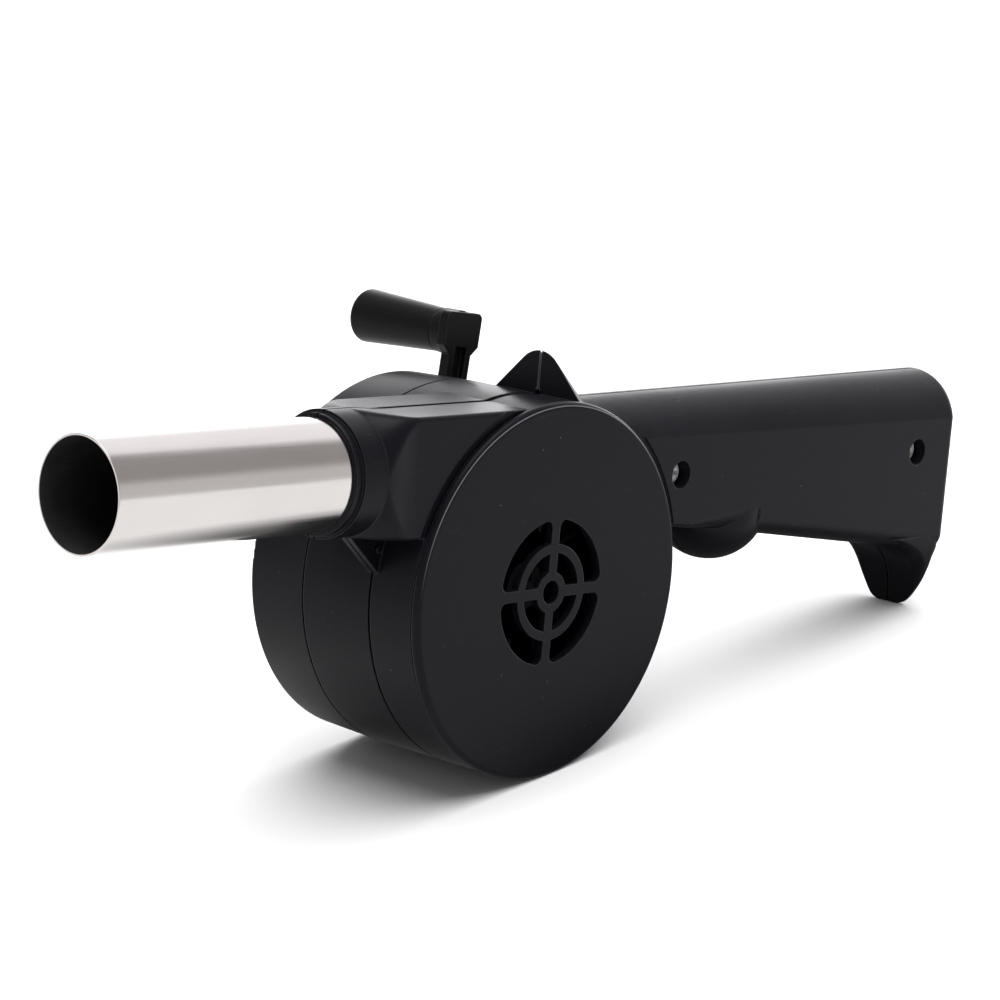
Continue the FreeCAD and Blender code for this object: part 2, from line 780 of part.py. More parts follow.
def fan_shaft():
    """Ground rod with a groove for the retaining ring."""
    rod = flat_rod(fan_shaft_radius, fan_ring_end - 2 * washer_thickness, fan_pinion_end)
    ring_start = fan_ring_end - washer_thickness - end_gap / 2
    groove = ring(fan_shaft_radius * 0.8, fan_shaft_radius + 1, ring_start, fan_ring_end + end_gap / 2)
    bush_part = disc(fan_shaft_radius, fan_hub_end + end_gap, fan_bush_end + end_gap)
    return rod.cut(groove).fuse(bush_part).removeSplitter()


def fan_ring():
    """Retaining ring, open on one side."""
    inner = fan_shaft_radius * 0.8 + fit_gap
    clip = ring(inner, fan_shaft_radius * 2.1, fan_ring_end - washer_thickness, fan_ring_end)
    mouth = block((-inner, inner), (0.0, fan_ring_end + 1), (0.0, far))
    return clip.cut(mouth)


def fan_pinion():
    toward = angle_between((0.0, 0.0), idler_centre) + math.pi / fan_pinion_teeth
    wheel = gear(fan_pinion_teeth, fan_pinion_start, fan_pinion_end, (0.0, 0.0), toward)
    return wheel.cut(flat_rod(fan_shaft_radius + fit_gap, fan_pinion_start - 1, fan_pinion_end + 1))


def idler_gear():
    """Two-step gear on a fixed pin."""
    large_toward = angle_between(idler_centre, (0.0, 0.0))
    small_toward = angle_between(idler_centre, crank_centre) + math.pi / idler_pinion_teeth
    large = gear(idler_teeth, idler_start, idler_step, idler_centre, large_toward)
    small = gear(idler_pinion_teeth, idler_step, idler_end, idler_centre, small_toward)
    bore = disc(idler_pin_radius + running_gap, idler_start - 1, idler_end + 1, idler_centre)
    return large.fuse(small).cut(bore).removeSplitter()


def idler_washers():
    inner = idler_pin_radius + running_gap
    outer = idler_pin_radius + boss_wall
    low = idler_washer_start
    high = idler_end + end_gap
    return Part.makeCompound([
        ring(inner, outer, low, low + washer_thickness, idler_centre),
        ring(inner, outer, high, high + washer_thickness, idler_centre),
    ])


def crank_gear():
    """Large gear with a hub on each side, turned by the shaft's flat."""
    toward = angle_between(crank_centre, idler_centre)
    wheel = gear(crank_teeth, crank_gear_start, crank_gear_end, crank_centre, toward)
    inner_hub = disc(inner_bush_radius, inner_bush_end + end_gap, crank_gear_start, crank_centre)
    outer_hub = disc(crank_hub_radius, crank_gear_end, crank_boss_start - end_gap, crank_centre)
    bore = flat_rod(crank_shaft_radius + fit_gap, inner_bush_end, crank_boss_start, crank_centre)
    pitch = tooth_module * crank_teeth / 2
    rim = pitch - 3 * tooth_module
    dish = ring(crank_hub_radius + wall, rim, crank_gear_end - crank_dish, crank_gear_end + 1, crank_centre)
    return wheel.fuse([inner_hub, outer_hub]).cut([bore, dish]).removeSplitter()


def crank_shaft():
    """Steel shaft: round in its bushes, with flats under the gear and the arm, tapped at its outer end."""
    start = inner_bush_start + end_gap
    end = arm_face + arm_hub_thickness - 2 * end_gap
    rod = disc(crank_shaft_radius, start, end, crank_centre)
    top = crank_shaft_radius - shaft_flat
    for y_from, y_to in ((inner_bush_end, crank_boss_start), (arm_face, end + 1)):
        rod = rod.cut(block(
            (crank_offset - crank_shaft_radius, crank_offset + crank_shaft_radius),
            (y_from, y_to),
            (top, top + crank_shaft_radius),
        ))
    return rod.cut(disc(screw_radius + fit_gap, end - crank_tap_depth, end + 1, crank_centre))


def crank_arm():
    """Flat arm, channelled on the side towards the casing, with a block and a barrel for the knob's screw."""
    back = arm_face + arm_thickness
    hub = disc(arm_hub_radius, arm_face, arm_face + arm_hub_thickness)
    half = arm_width / 2
    stem_top = arm_length - head_height / 2 + 1
    stem = block((-half, half), (arm_face, back), (0.0, stem_top))
    half_head = head_width / 2
    low = arm_length - head_height / 2
    high = arm_length + head_height / 2
    head_outline = [
        (-half, low), (half, low), (half_head, low + head_chamfer), (half_head, high),
        (-half_head, high), (-half_head, low + head_chamfer),
    ]
    head = prism(head_outline, arm_face, back)
    head = rounded(
        head, head_corner,
        lambda edge: runs_along(edge, Vector(0, 1, 0)) and edge.CenterOfMass.z > arm_length,
    )
    barrel = disc(barrel_radius, arm_face, back + barrel_depth, (0.0, arm_length))
    channel_half = arm_channel / 2
    channel_start = arm_hub_radius + 1
    channel_end = low - channel_half - 0.4
    channel_y = (arm_face - 1, arm_face + arm_channel_depth)
    channel = block((-channel_half, channel_half), channel_y, (channel_start, channel_end))
    ends = [disc(channel_half, *channel_y, (0.0, z)) for z in (channel_start, channel_end)]
    arm = hub.fuse([stem, head, barrel]).cut([channel] + ends)
    floor = arm_face + knob_hole_floor
    arm = arm.cut(disc(knob_thread_radius + fit_gap, floor, back + barrel_depth + 1, (0.0, arm_length)))
    arm = arm.removeSplitter()
    arm.rotate(Vector(0, 0, 0), Vector(0, 1, 0), arm_lean)
    arm.translate(Vector(crank_centre[0], 0, crank_centre[1]))
    hub_end = arm_face + arm_hub_thickness
    return arm.cut(flat_rod(crank_shaft_radius + fit_gap, arm_face - 1, hub_end + 1, crank_centre))


def crank_knob():
    """Tapered round knob with a recess for the screw in its free end."""
    body = Part.makeCone(
        knob_root_radius, knob_end_radius, knob_length,
        Vector(knob_centre[0], knob_start, knob_centre[1]), Vector(0, 1, 0),
    )
    body = rounded(body, knob_edge, lambda edge: circle_at(edge, knob_end, knob_end_radius))
    body = rounded(body, knob_edge / 3, lambda edge: circle_at(edge, knob_start, knob_root_radius))
    bore = disc(knob_screw_radius + running_gap, knob_start - 1, knob_end + 1, knob_centre)
    recess = disc(knob_recess_radius, knob_seat, knob_end + 1, knob_centre)
    return body.cut([bore, recess])


def knob_screw():
    """Shoulder screw: the knob runs on its shoulder and its thread holds in the arm's barrel."""
    seat = knob_seat + washer_thickness + 2 * end_gap
    shoulder = disc(knob_screw_radius, knob_start - end_gap, seat, knob_centre)
    thread = disc(knob_thread_radius, arm_face + knob_hole_floor + end_gap, knob_start - end_gap, knob_centre)
    head = screw(knob_centre, seat, 1.0, knob_thread_radius, screw_head_radius, screw_head_height, -1)
    return head.fuse([shoulder, thread]).removeSplitter()


def knob_washer():
    start = knob_seat + end_gap
    end = start + washer_thickness
    return ring(knob_screw_radius + running_gap, knob_recess_radius - 0.3, start, end, knob_centre)


def screw_group(places, seat, length, towards):
    """Like screws of the small size."""
    return Part.makeCompound([
        screw(place, seat, length, small_screw_radius, small_head_radius, small_head_height, towards)
        for place in places
    ])


outer = casing_form(0.0, gear_joint)
inner = hollow()
grooved = outer.cut(parting_groove(outer))
parts["right_shell"] = right_shell(grooved, inner)
parts["left_shell"] = left_shell(grooved, inner)
parts["gear_cover"] = gear_cover()
parts["intake_cover"] = intake_cover()
parts["nozzle_tube"] = nozzle_tube()
parts["grip_screws"] = Part.makeCompound([
    screw(place, grip_screw_seat, screw_length, screw_radius, screw_head_radius, screw_head_height, 1)
    for place in grip_screw_places()
])
parts["case_screws"] = screw_group(case_screw_places(), case_near + small_head_height, case_screw_length, 1)
parts["gear_cover_screws"] = screw_group(
    cover_screw_places(), cover_face - cover_screw_depth, cover_screw_length, -1)
parts["fan_wheel"] = fan_wheel()
parts["fan_shaft"] = fan_shaft()
parts["fan_ring"] = fan_ring()
parts["fan_pinion"] = fan_pinion()
parts["fan_bush"] = ring(fan_shaft_radius + running_gap, fan_bush_radius, fan_bush_start, fan_bush_end)
parts["fan_washer"] = ring(
    fan_shaft_radius + running_gap, fan_bush_radius, fan_washer_start, fan_washer_start + washer_thickness)
parts["idler_gear"] = idler_gear()
parts["idler_pin"] = disc(idler_pin_radius, idler_pin_start, idler_pin_end, idler_centre)
parts["idler_washers"] = idler_washers()
parts["crank_gear"] = crank_gear()
parts["crank_shaft"] = crank_shaft()
parts["crank_bush"] = ring(
    crank_shaft_radius + running_gap, crank_bush_radius, crank_boss_start, crank_bush_end, crank_centre)
parts["crank_inner_bush"] = ring(
    crank_shaft_radius + running_gap, inner_bush_radius, inner_bush_start, inner_bush_end, crank_centre)
washer_start = cover_face + end_gap / 2
parts["crank_washer"] = ring(
    crank_shaft_radius + running_gap, arm_hub_radius - 1, washer_start, washer_start + crank_washer_thickness,
    crank_centre)
parts["crank_arm"] = crank_arm()
arm_seat = arm_face + arm_hub_thickness
parts["crank_screw"] = screw(
    crank_centre, arm_seat, crank_screw_length, screw_radius, crank_shaft_radius + 0.8, screw_head_height, -1)
parts["crank_knob"] = crank_knob()
parts["knob_screw"] = knob_screw()
parts["knob_washer"] = knob_washer()

# The blower stands on its drum and on the tip of its hook, nose up
rest_radius = drum_radius + cover_lip
tip_x = grip_end - hook_set_back
tip_z = hook_drop - underside(grip_end)
tilt = math.asin(rest_radius / math.hypot(tip_x, tip_z)) - math.atan2(tip_z, tip_x)
whole = Part.makeCompound(list(parts.values()))
whole.rotate(Vector(0, 0, 0), Vector(0, 1, 0), math.degrees(tilt))
box = whole.optimalBoundingBox(False, False)
shift = Vector(-box.Center.x, -box.Center.y, -box.ZMin)
os.makedirs("parts", exist_ok=True)
for name, shape in parts.items():
    placed = shape.copy()
    placed.rotate(Vector(0, 0, 0), Vector(0, 1, 0), math.degrees(tilt))
    placed.translate(shift)
    placed.exportStep("parts/" + name + ".step")
print("tilt", math.degrees(tilt), "shift", shift, "box", box)
for name, shape in parts.items():
    print(name, len(shape.Solids), shape.isValid(), round(shape.Volume, 1))
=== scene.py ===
import json
import math

import bpy
from mathutils import Matrix, Vector


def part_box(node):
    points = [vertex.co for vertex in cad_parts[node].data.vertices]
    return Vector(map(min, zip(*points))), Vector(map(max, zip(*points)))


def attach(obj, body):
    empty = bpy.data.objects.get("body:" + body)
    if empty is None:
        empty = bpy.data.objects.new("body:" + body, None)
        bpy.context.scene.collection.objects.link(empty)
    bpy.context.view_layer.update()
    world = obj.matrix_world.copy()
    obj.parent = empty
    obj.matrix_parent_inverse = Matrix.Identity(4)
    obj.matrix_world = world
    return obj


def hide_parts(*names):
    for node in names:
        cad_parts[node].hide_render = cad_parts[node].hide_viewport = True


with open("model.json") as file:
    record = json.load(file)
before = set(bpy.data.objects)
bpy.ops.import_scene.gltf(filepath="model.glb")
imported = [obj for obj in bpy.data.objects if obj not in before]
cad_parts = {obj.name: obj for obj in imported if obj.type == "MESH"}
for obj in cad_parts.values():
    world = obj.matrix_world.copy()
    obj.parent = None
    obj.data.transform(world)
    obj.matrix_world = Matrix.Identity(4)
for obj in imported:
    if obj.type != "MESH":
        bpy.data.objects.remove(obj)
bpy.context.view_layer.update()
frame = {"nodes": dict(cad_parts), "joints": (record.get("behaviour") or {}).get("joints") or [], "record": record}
bpy.ops.object.select_all(action="DESELECT")

# The blower's own axes
# The blower stands on its drum and its hook, so its nozzle points up a little. Sizes below are in
# millimetres from the middle of the intake cover's face: along the nozzle and the grip (X), along the
# fan's shaft from that face (Y), and square to both (Z).
mm = 0.001
joints = {joint["name"]: joint for joint in frame["joints"]}
mounts = {mount["name"]: mount for mount in frame["record"]["mounts"]}
nozzle_axis = Vector(mounts["nozzle_bore"]["axis"])
tilt = math.atan2(nozzle_axis.z, -nozzle_axis.x)
fan_axis = Vector(joints["fan_turn"]["pos_m"])
cover_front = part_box("intake_cover")[0].y
blower = Matrix.Translation((fan_axis.x, cover_front, fan_axis.z)) @ Matrix.Rotation(tilt, 4, "Y")


def own(point):
    """A place in the scene, seen from the blower's own axes, in millimetres."""
    return blower.inverted() @ Vector(point) / mm


# Camera
# It stands in front of the nozzle, a little above the table, and looks at the drum's face through a long
# lens. It is held slightly askew.
view_azimuth = math.radians(-48.21)
view_elevation = math.radians(9.59)
view_roll = math.radians(4.90)
view_distance = 708.9 * mm
view_offset = (-11.68 * mm, 17.42 * mm)
lens_length = 128.58
film_width = 36
nearest_view = 0.01
back = Vector((
    math.sin(view_azimuth) * math.cos(view_elevation),
    -math.cos(view_azimuth) * math.cos(view_elevation),
    math.sin(view_elevation),
))
level = Vector((math.cos(view_azimuth), math.sin(view_azimuth), 0))
upright = back.cross(level)
place = Matrix.Translation(back * view_distance + level * view_offset[0] + upright * view_offset[1])
right = level * math.cos(view_roll) + upright * math.sin(view_roll)
turn = Matrix((right, back.cross(right), back)).transposed().to_4x4()
camera = bpy.data.objects.new("camera", bpy.data.cameras.new("camera"))
camera.data.lens = lens_length
camera.data.sensor_width = film_width
camera.data.clip_start = nearest_view
camera.matrix_world = blower @ place @ turn
bpy.context.collection.objects.link(camera)
bpy.context.scene.camera = camera


# Studio
# White sheet of paper under the blower, a broad soft light above it, and around it what the plastic and
# the tube mirror: grey walls, a bright window at the back right, and two lamps, beside and overhead.

def node(tree, kind, sockets=None, **settings):
    """New shader node, with its settings and with a value or another node's output in each socket."""
    new = tree.nodes.new(kind)
    for key, value in settings.items():
        setattr(new, key, value)
    for key, value in (sockets or {}).items():
        if isinstance(value, bpy.types.NodeSocket):
            tree.links.new(value, new.inputs[key])
        else:
            new.inputs[key].default_value = value
    return new


def maths(tree, operation, *values):
    """Result of an operation on numbers and other nodes' outputs."""
    return node(tree, "ShaderNodeMath", dict(enumerate(values)), operation=operation).outputs[0]


def vector_maths(tree, operation, *vectors):
    """The same for places and colours. A length and a dot product come out as one number."""
    result = "Value" if operation in ("LENGTH", "DOT_PRODUCT") else "Vector"
    return node(tree, "ShaderNodeVectorMath", dict(enumerate(vectors)), operation=operation).outputs[result]


def spread(tree, value, start, end, low=0.0, high=1.0, smooth=False):
    """Goes from low, where the value is at the start, to high at the end, and stays level beyond both."""
    sockets = {"Value": value, "From Min": start, "From Max": end, "To Min": low, "To Max": high}
    curve = "SMOOTHSTEP" if smooth else "LINEAR"
    return node(tree, "ShaderNodeMapRange", sockets, interpolation_type=curve).outputs[0]


def mix(tree, factor, first, second):
    """Colour between two: the first where the factor is 0, the second where it is 1."""
    first_socket, second_socket, result_socket = 6, 7, 2
    colours = [one if isinstance(one, bpy.types.NodeSocket) else (*one, 1) for one in (first, second)]
    sockets = {"Factor": factor, first_socket: colours[0], second_socket: colours[1]}
    return node(tree, "ShaderNodeMix", sockets, data_type="RGBA").outputs[result_socket]


def mix_shaders(tree, factor, first, second):
    """Surface between two, as for colours."""
    return node(tree, "ShaderNodeMixShader", {0: factor, 1: first, 2: second}).outputs[0]


def ramp(tree, factor, stops):
    """Grey steps along a factor: stops are (place, brightness) pairs."""
    new = node(tree, "ShaderNodeValToRGB", {"Fac": factor})
    elements = new.color_ramp.elements
    while len(elements) < len(stops):
        elements.new(0.5)
    for element, (position, grey) in zip(elements, stops):
        element.position = position
        element.color = (grey, grey, grey, 1)
    return new.outputs["Color"]


def toward(azimuth, elevation):
    """Direction in the scene, from degrees about +Z from +X, and degrees above the table."""
    level_part = math.cos(math.radians(elevation))
    return Vector((
        level_part * math.cos(math.radians(azimuth)),
        level_part * math.sin(math.radians(azimuth)),
        math.sin(math.radians(elevation)),
    ))


# A light's edge is given as the cosine of the angle from its middle, outer end first. Heights go from 0,
# level, to 1, straight up.
wall_high = (0.40, 0.38, 0.38)
wall_low = (0.74, 0.72, 0.72)
wall_fade = (0.32, 0.12)
window_middle = toward(22, 12)
window_edge = (0.77, 0.85)
pane_high = (1.25, 1.24, 1.25)
pane_low = (3.7, 3.7, 3.78)
pane_fade = (0.26, 0.10)
side_lamp_middle = toward(58, 20)
side_lamp_edge = (0.90, 0.98)
side_lamp_strength = 0.9
top_lamp_edge = (0.88, 0.99)
top_lamp_strength = 5.0
ambient_tint = (0.97, 0.97, 1.0)
ambient_strength = 0.32
bpy.context.scene.view_settings.view_transform = "Standard"
world = bpy.data.worlds.new("studio")
world.use_nodes = True
room = world.node_tree
room.nodes.clear()
looking = node(room, "ShaderNodeTexCoord").outputs["Generated"]
height = node(room, "ShaderNodeSeparateXYZ", {0: looking}).outputs["Z"]
walls = mix(room, spread(room, height, *wall_fade, smooth=True), wall_high, wall_low)
pane = mix(room, spread(room, height, *pane_fade, smooth=True), pane_high, pane_low)
window_nearness = vector_maths(room, "DOT_PRODUCT", looking, window_middle)
glazed = mix(room, spread(room, window_nearness, *window_edge, smooth=True), walls, pane)
side_nearness = vector_maths(room, "DOT_PRODUCT", looking, side_lamp_middle)
side_lamp = spread(room, side_nearness, *side_lamp_edge, high=side_lamp_strength, smooth=True)
top_lamp = spread(room, height, *top_lamp_edge, high=top_lamp_strength, smooth=True)
around = vector_maths(room, "ADD", glazed, maths(room, "ADD", side_lamp, top_lamp))
path = node(room, "ShaderNodeLightPath")
mirrored = node(room, "ShaderNodeBackground", {"Color": around, "Strength": 1.0}).outputs[0]
ambient = node(room, "ShaderNodeBackground", {
    "Color": (*ambient_tint, 1), "Strength": ambient_strength}).outputs[0]
seen = node(room, "ShaderNodeBackground", {"Color": (1, 1, 1, 1), "Strength": 1.0}).outputs[0]
lit = mix_shaders(room, path.outputs["Is Diffuse Ray"], mirrored, ambient)
node(room, "ShaderNodeOutputWorld", {
    "Surface": mix_shaders(room, path.outputs["Is Camera Ray"], lit, seen)})
bpy.context.scene.world = world

sheet_front = -0.45
sheet_depth = 3.3
sheet_width = 6
bpy.ops.mesh.primitive_plane_add(size=1, location=(0, sheet_front + sheet_depth / 2, 0))
sheet = bpy.context.object
sheet.name = "paper_sheet"
sheet.scale = (sheet_width, sheet_depth, 1)
bpy.ops.object.transform_apply(location=True, rotation=True, scale=True)
paper = bpy.data.materials.new("white_paper")
paper.use_nodes = True
paper_tree = paper.node_tree
paper_shader = paper_tree.nodes["Principled BSDF"]
paper_shader.inputs["Base Color"].default_value = (0.88, 0.88, 0.88, 1)
paper_shader.inputs["Roughness"].default_value = 0.9
paper_shader.inputs["Specular IOR Level"].default_value = 0.0

# Shiny surfaces mirror a painted glow in place of the lit paper, with a painted shadow: dark close to the
# blower, where it would shade the paper, and bright farther off.
shade_centre = (0.050, -0.012, 0.0)
shade_size = (0.150, 0.064, 1.0)
paper_glow = 1.25
spot = node(paper_tree, "ShaderNodeMapping", {
    "Vector": node(paper_tree, "ShaderNodeTexCoord").outputs["Object"],
    "Location": tuple(-centre / size for centre, size in zip(shade_centre, shade_size)),
    "Scale": tuple(1 / size for size in shade_size),
}).outputs[0]
shade = ramp(paper_tree, vector_maths(paper_tree, "LENGTH", spot), ((0.0, 0.1), (0.62, 0.12), (0.95, 1.0)))
glow = node(paper_tree, "ShaderNodeEmission", {"Color": shade, "Strength": paper_glow}).outputs[0]
in_mirrors = node(paper_tree, "ShaderNodeLightPath").outputs["Is Glossy Ray"]
paper_look = mix_shaders(paper_tree, in_mirrors, paper_shader.outputs[0], glow)
paper_tree.links.new(paper_look, paper_tree.nodes["Material Output"].inputs["Surface"])
sheet.data.materials.append(paper)

lamp_strength = 4.5
lamp_spread = math.radians(90)
lamp_direction = toward(-2, 77)
lamp = bpy.data.objects.new("broad_light", bpy.data.lights.new("broad_light", "SUN"))
lamp.data.energy = lamp_strength
lamp.data.angle = lamp_spread
lamp.visible_glossy = False
lamp.rotation_euler = lamp_direction.to_track_quat("Z", "Y").to_euler()
bpy.context.collection.objects.link(lamp)


# Shells
# Two moulded halves of black ABS, closed along the middle by screws in deep round holes. The right one
# has the drum's front band, half of the air duct and half of the grip, the left one the rest.

def noise(tree, where, per_metre, detail):
    """Cloudy pattern between 0 and 1, with so many clouds to the metre."""
    sockets = {"Vector": where, "Scale": per_metre, "Detail": detail}
    return node(tree, "ShaderNodeTexNoise", sockets).outputs["Fac"]


def plastic(name, colour, roughness, wear_and_highlight_colour, dust):
    """Moulded plastic: fine mould grain, uneven gloss, scuffs, specks of dust, and edges lightened partly as
    rubbed wear and partly as a painted highlight.
    """
    edge_width = 0.35 * mm
    edge_flatness = (0.99, 0.80)
    darkest = 0.72
    lightest = 1.28
    dust_colour = (0.22, 0.22, 0.23)
    scuff_colouring = 0.07
    scuff_dulling = 0.08
    gloss_change = 0.05
    ripple_depth = 0.03 * mm
    grain_depth = 0.02 * mm
    material = bpy.data.materials.new(name)
    material.use_nodes = True
    tree = material.node_tree
    shader = tree.nodes["Principled BSDF"]
    where = node(tree, "ShaderNodeTexCoord").outputs["Object"]
    patches = noise(tree, where, per_metre=38.0, detail=4.0)
    slanted = node(tree, "ShaderNodeMapping", {
        "Vector": where, "Rotation": (0.5, 0.9, 0.4), "Scale": (1.0, 14.0, 14.0)}).outputs[0]
    strokes = noise(tree, slanted, per_metre=60.0, detail=5.0)
    scuffs = ramp(tree, strokes, ((0.0, 0.0), (0.66, 0.0), (0.74, 1.0)))
    cells = node(tree, "ShaderNodeTexVoronoi", {"Vector": where, "Scale": 620.0}).outputs["Distance"]
    dots = ramp(tree, cells, ((0.0, 1.0), (0.05, 1.0), (0.10, 0.0)))
    areas = noise(tree, where, per_metre=210.0, detail=1.0)
    dusty_areas = ramp(tree, areas, ((0.0, 0.0), (0.63, 0.0), (0.68, dust)))
    specks = maths(tree, "MULTIPLY", dots, dusty_areas)
    soft_normal = node(tree, "ShaderNodeBevel", {"Radius": edge_width}, samples=4).outputs[0]
    true_normal = node(tree, "ShaderNodeNewGeometry").outputs["Normal"]
    flatness = vector_maths(tree, "DOT_PRODUCT", soft_normal, true_normal)
    # Edges come out lighter where the softened normal parts from the true one: partly rubbed wear, partly a
    # painted highlight.
    rubbed_and_highlit = maths(tree, "MULTIPLY", spread(tree, flatness, *edge_flatness), patches)

    darker = tuple(darkest * part for part in colour)
    lighter = tuple(min(1.0, lightest * part) for part in colour)
    tone = mix(tree, patches, darker, lighter)
    scuffed = mix(tree, maths(tree, "MULTIPLY", scuffs, scuff_colouring), tone, wear_and_highlight_colour)
    worn_and_highlit = mix(tree, rubbed_and_highlit, scuffed, wear_and_highlight_colour)
    tree.links.new(mix(tree, specks, worn_and_highlit, dust_colour), shader.inputs["Base Color"])

    gloss = spread(tree, patches, 0.3, 0.7, roughness - gloss_change, roughness + gloss_change)
    dulled = maths(tree, "MULTIPLY_ADD", scuffs, scuff_dulling, gloss)
    tree.links.new(dulled, shader.inputs["Roughness"])
    shader.inputs["Specular IOR Level"].default_value = 0.09

    ripple = noise(tree, where, per_metre=260.0, detail=2.0)
    grain = noise(tree, where, per_metre=4200.0, detail=2.0)
    coarse = node(tree, "ShaderNodeBump", {
        "Height": ripple, "Normal": soft_normal, "Strength": 0.25, "Distance": ripple_depth}).outputs[0]
    fine = node(tree, "ShaderNodeBump", {
        "Height": grain, "Normal": coarse, "Strength": 0.35, "Distance": grain_depth}).outputs[0]
    tree.links.new(fine, shader.inputs["Normal"])
    return material


def coat(material, *names):
    """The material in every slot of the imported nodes."""
    for name in names:
        for slot in frame["nodes"][name].material_slots:
            slot.material = material


def in_own_axes(tree, origin=(0, 0, 0), scale=(1, 1, 1)):
    """Place on a piece in metres, along the blower's own axes, from an origin given in the scene."""
    return node(tree, "ShaderNodeMapping", {
        "Vector": node(tree, "ShaderNodeTexCoord").outputs["Object"],
        "Location": origin, "Rotation": (0, tilt, 0), "Scale": scale}, vector_type="TEXTURE").outputs[0]


abs_colour = (0.0051, 0.0049, 0.0069)
abs_wear_and_highlight = (0.085, 0.085, 0.09)
abs_roughness = 0.34
abs_dust = 0.5
shell_abs = plastic("black_abs_with_seam", abs_colour, abs_roughness, abs_wear_and_highlight, abs_dust)

# The joint line is painted black as shade between the halves, painted wider along the duct's top where they
# gape a little, and given a painted grey highlight on the fin.
seam_place = mounts["nozzle_bore"]["pos_m"][1]
seam_half = 0.22 * mm
seam_fade = 0.36 * mm
seam_shadow_black = (0.0008, 0.0008, 0.0008)
seam_dulling = 0.6
shade_band_middle = -12.0 * mm
shade_band_reach = 27.0 * mm
shade_band_end = 30.0 * mm
shade_band_growth = 1.8
duct_shoulder = 35.2 * mm
duct_top = 36.0 * mm
fin_foot = 38.3 * mm
fin_clear = 38.9 * mm
fin_seam_highlight_grey = (0.20, 0.20, 0.205)
shell = shell_abs.node_tree
shell_shader = shell.nodes["Principled BSDF"]
shell_across = node(shell, "ShaderNodeSeparateXYZ", {
    0: node(shell, "ShaderNodeTexCoord").outputs["Object"]}).outputs["Y"]
off_seam = maths(shell, "ABSOLUTE", maths(shell, "SUBTRACT", shell_across, seam_place))
on_shell = node(shell, "ShaderNodeSeparateXYZ", {0: in_own_axes(shell, blower.translation)})
on_fin = spread(shell, on_shell.outputs["Z"], fin_foot, fin_clear)
off_fin = maths(shell, "SUBTRACT", 1.0, on_fin)
off_middle = maths(shell, "ABSOLUTE", maths(shell, "SUBTRACT", on_shell.outputs["X"], shade_band_middle))
along_duct = spread(shell, off_middle, shade_band_end, shade_band_reach)
high_up = spread(shell, on_shell.outputs["Z"], duct_shoulder, duct_top)
on_duct_top = maths(shell, "MULTIPLY", along_duct, high_up)
shade_band_widening = maths(shell, "MULTIPLY", on_duct_top, off_fin)
wider = maths(shell, "MULTIPLY_ADD", shade_band_widening, shade_band_growth, 1.0)
# Painted shade along the joint, wider on the duct's top; on the fin the mark is a painted grey highlight.
seam_shade = spread(shell, maths(shell, "DIVIDE", off_seam, wider), seam_fade, seam_half)
seam_shadow_and_highlight = mix(shell, on_fin, seam_shadow_black, fin_seam_highlight_grey)
clean_colour = shell_shader.inputs["Base Color"].links[0].from_socket
shell.links.new(mix(shell, seam_shade, clean_colour, seam_shadow_and_highlight), shell_shader.inputs["Base Color"])
clean_gloss = shell_shader.inputs["Roughness"].links[0].from_socket
chalky = maths(shell, "MULTIPLY_ADD", seam_shade, seam_dulling, clean_gloss)
shell.links.new(chalky, shell_shader.inputs["Roughness"])
coat(shell_abs, "right_shell", "left_shell")

# Gear cover
# Slightly tapered cup of the same black ABS over the gears, with a lip that centres it in the left
# shell. Four screws through its back hold it.
black_abs = plastic("black_abs", abs_colour, abs_roughness, abs_wear_and_highlight, abs_dust)
coat(black_abs, "gear_cover")

# Fan wheel
# Ten bowed blades on a back plate, moulded in one piece with the hub, in a plain black that shows less
# than the casing behind the grille.
fan_black = plastic("fan_black", (0.0030, 0.0030, 0.0032), 0.5, (0.01, 0.01, 0.01), 0.2)
coat(fan_black, "fan_wheel")

# Gears and plain washers
# Natural acetal, milky white: the crank's gear, the two-step gear between, and the washers that keep the
# moving parts off the casing.
milky_acetal = plastic("milky_acetal", (0.76, 0.74, 0.67), 0.38, (0.86, 0.85, 0.80), 0.1)
coat(milky_acetal, "crank_gear", "idler_gear", "crank_washer", "fan_washer")


# Crank's shaft and the gear's pin
# Ground steel rod, cut to length. It shows the fine marks that the grinding wheel left around it.

def metal(name, colour, roughness, fineness, depth):
    """Bare metal with marks so many mm deep, and finer along each own axis by its fineness."""
    darkest = 0.86
    smoother = 0.04
    rougher = 0.06
    material = bpy.data.materials.new(name)
    material.use_nodes = True
    tree = material.node_tree
    shader = tree.nodes["Principled BSDF"]
    where = node(tree, "ShaderNodeTexCoord").outputs["Object"]
    squeezed = in_own_axes(tree, scale=tuple(1 / part for part in fineness))
    marks = noise(tree, squeezed, per_metre=60.0, detail=6.0)
    clouds = noise(tree, where, per_metre=45.0, detail=3.0)
    darker = tuple(darkest * part for part in colour)
    tree.links.new(mix(tree, clouds, darker, colour), shader.inputs["Base Color"])
    gloss = spread(tree, marks, 0.3, 0.7, roughness - smoother, roughness + rougher)
    tree.links.new(gloss, shader.inputs["Roughness"])
    shader.inputs["Metallic"].default_value = 1.0
    bump = node(tree, "ShaderNodeBump", {"Height": marks, "Strength": 0.3, "Distance": depth * mm})
    tree.links.new(bump.outputs[0], shader.inputs["Normal"])
    return material


ground_steel = metal("ground_steel", (0.60, 0.60, 0.61), 0.22, (2.0, 60.0, 2.0), 0.003)
coat(ground_steel, "idler_pin", "crank_shaft")

# Fan's shaft and retaining ring
# Steel painted near black as the shade behind the grille, so that nothing bright shows there. The ring snaps
# into a groove in the shaft.
steel_in_painted_shade = metal("steel_in_painted_shade", (0.020, 0.020, 0.021), 0.40, (9.0, 9.0, 9.0), 0.006)
coat(steel_in_painted_shade, "fan_shaft", "fan_ring")

